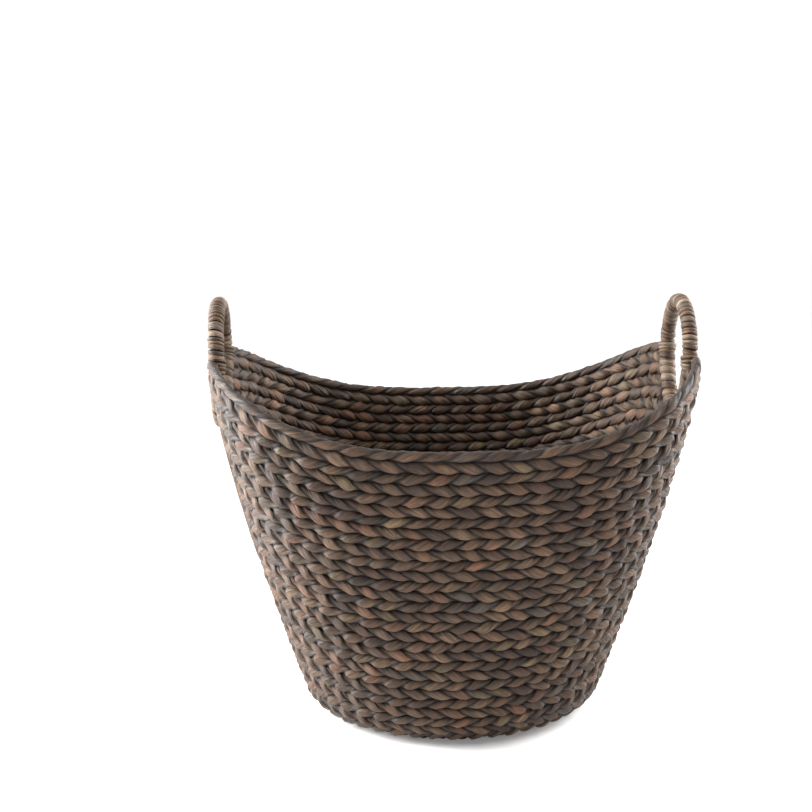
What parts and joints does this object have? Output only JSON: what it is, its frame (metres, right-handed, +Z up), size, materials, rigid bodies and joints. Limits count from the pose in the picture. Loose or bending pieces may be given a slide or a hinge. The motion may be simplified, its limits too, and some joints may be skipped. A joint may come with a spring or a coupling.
{
  "type": "laundry basket",
  "caption": "Large oval woven basket in dark twined plant fibre, with a dipping edge and a wrapped ring handle standing up at each end.",
  "frame": {"origin": "on the floor, under the middle of the basket", "axes": "+X from the middle towards the right handle, along the length; +Y towards the back long side; +Z up"},
  "size_m": [0.4938, 0.3874, 0.44],
  "materials": {
    "weave": "twined dried plant stems, dark espresso brown with reddish and grey strands, matt with a slight sheen",
    "edge_strand": "rope-like edge strand, greyer brown, matt",
    "handle_wrap": "close wrapping of flat stems, weathered grey-brown",
    "fibres": "long loose stems lying side by side, light brown",
    "frame_wire": "plain drawn iron wire"
  },
  "bodies": {
    "root": {"floor_weave_under": "weave", "floor_weave_over": "weave", "floor_grid_wires": "frame_wire", "foot_hoop_wire": "frame_wire", "stake_wires": "frame_wire", "course_01": "weave", "course_02": "weave", "course_03": "weave", "course_04": "weave", "course_05": "weave", "course_06": "weave", "course_07": "weave", "course_08": "weave", "course_09": "weave", "course_10": "weave", "course_11": "weave", "course_12": "weave", "course_13": "weave", "course_14": "weave", "course_15": "weave", "course_16": "weave", "course_17": "weave", "course_18": "weave", "course_19": "weave", "course_20": "weave", "course_21": "weave", "course_22": "weave", "course_23": "weave", "course_24": "weave", "course_25": "weave", "course_26": "weave", "course_27": "weave", "course_28": "weave", "rim_wires": "frame_wire", "rim_edge_strand": "edge_strand", "left_ring_wire": "frame_wire", "left_handle_wrap": "handle_wrap", "left_lower_wrap": "handle_wrap", "left_ties": "handle_wrap", "left_outer_fibres": "fibres", "left_inner_fibres": "fibres", "right_ring_wire": "frame_wire", "right_handle_wrap": "handle_wrap", "right_lower_wrap": "handle_wrap", "right_ties": "handle_wrap", "right_outer_fibres": "fibres", "right_inner_fibres": "fibres"}
  },
  "joints": []
}
